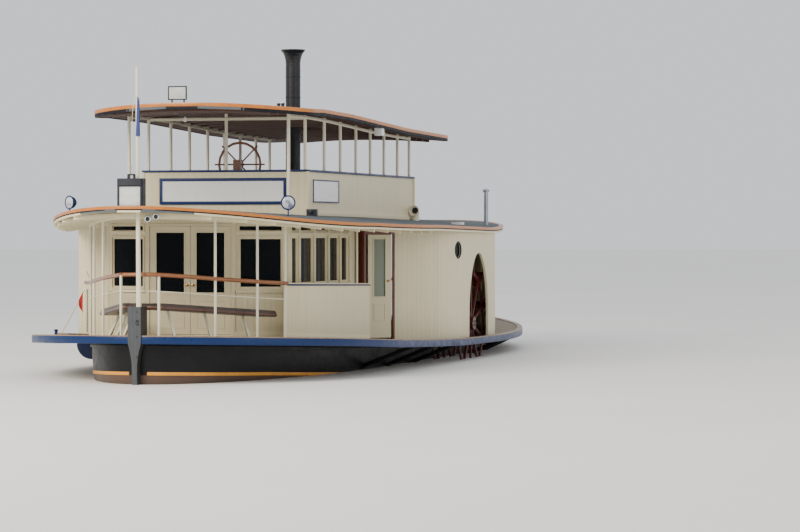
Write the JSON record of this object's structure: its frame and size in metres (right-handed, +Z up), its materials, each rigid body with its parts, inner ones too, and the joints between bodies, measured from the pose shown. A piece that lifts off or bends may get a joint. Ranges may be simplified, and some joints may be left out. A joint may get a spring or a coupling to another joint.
{
  "type": "paddle steamer",
  "caption": "River paddle steamer with side wheels, two covered decks, a tall black funnel, bowed side walls and blank name boards.",
  "frame": {"origin": "centre of the bounding box on the flat bottom of the hull", "axes": "+X to the bow, +Y to port, +Z up"},
  "size_m": [22.762, 7.1, 7.23],
  "materials": {
    "hull_paint": "semi gloss black hull paint",
    "stem_paint": "worn grey paint",
    "deck_boards": "grey weathered boards",
    "fascia_blue": "gloss blue",
    "cream_paint": "painted boards, semi matt",
    "door_paint": "painted, semi gloss",
    "varnished_timber": "varnished",
    "post_paint": "gloss",
    "roof_covering": "matt grey",
    "sign_white": "gloss",
    "funnel_black": "heat resistant semi matt",
    "engine_iron": "painted dark",
    "wheel_red": "semi gloss",
    "shaft_steel": "bright, oiled",
    "rudder_black": "matt",
    "lamp_navy": "semi gloss",
    "flue_steel": "galvanised"
  },
  "bodies": {
    "boat": {"hull": "hull_paint", "stem_post": "stem_paint", "main_deck": "deck_boards", "deck_fascia": "fascia_blue", "saloon_front": "cream_paint", "saloon_side_port": "cream_paint", "saloon_side_starboard": "cream_paint", "side_wall_port": "cream_paint", "side_wall_starboard": "cream_paint", "side_door_frame": "varnished_timber", "aft_wall": "cream_paint", "bulwark_port": "cream_paint", "foredeck_rail_port": "post_paint", "foredeck_rail_starboard": "post_paint", "foredeck_bench": "varnished_timber", "lower_roof": "roof_covering", "jackstaff": "post_paint", "upper_board_front": "cream_paint", "upper_board_port": "cream_paint", "upper_board_starboard": "cream_paint", "upper_board_aft": "cream_paint", "sign_front": "sign_white", "sign_port": "sign_white", "sign_starboard": "sign_white", "upper_frame": "post_paint", "upper_roof": "roof_covering", "funnel": "funnel_black", "boiler": "funnel_black", "engine": "engine_iron", "shaft_bearing_port": "engine_iron", "shaft_bearing_starboard": "engine_iron", "helm_stand": "varnished_timber", "upper_bench_port": "varnished_timber", "upper_bench_starboard": "varnished_timber", "stair": "varnished_timber", "floodlight_jackstaff": "lamp_navy", "cowl_vent": "cream_paint", "stove_pipe": "flue_steel", "stern_rail": "post_paint"},
    "door_port": {"saloon_door_port": "door_paint"},
    "door_starboard": {"saloon_door_starboard": "door_paint"},
    "side_door": {"side_door_port": "door_paint"},
    "paddle_wheels": {"paddle_wheel_port": "wheel_red", "paddle_wheel_starboard": "wheel_red", "paddle_shaft": "shaft_steel"},
    "rudder": {"rudder": "rudder_black"},
    "helm": {"helm_wheel": "varnished_timber"}
  },
  "joints": [
    {"name": "paddle_turn", "type": "hinge", "parent": "boat", "child": "paddle_wheels", "pos_m": [-0.755, 0, 1.45], "axis": [0, 1, 0], "continuous": true},
    {"name": "door_port_swing", "type": "hinge", "parent": "boat", "child": "door_port", "pos_m": [8.155, 0.803, 2.45], "axis": [0, 0, 1], "range_deg": [0, 90]},
    {"name": "door_starboard_swing", "type": "hinge", "parent": "boat", "child": "door_starboard", "pos_m": [8.155, -0.803, 2.45], "axis": [0, 0, 1], "range_deg": [-90, 0]},
    {"name": "side_door_swing", "type": "hinge", "parent": "boat", "child": "side_door", "pos_m": [3.165, 2.008, 2.3], "axis": [0, 0, 1], "range_deg": [0, 85]},
    {"name": "rudder_turn", "type": "hinge", "parent": "boat", "child": "rudder", "pos_m": [-10.305, 0, 0.6], "axis": [0, 0, 1], "range_deg": [-35, 35]},
    {"name": "helm_turn", "type": "hinge", "parent": "boat", "child": "helm", "pos_m": [5.415, 0, 4.75], "axis": [1, 0, 0], "range_deg": [-420, 420]}
  ],
  "couplings": [
    {"joint": "helm_turn", "follows": "rudder_turn", "ratio": 12}
  ]
}
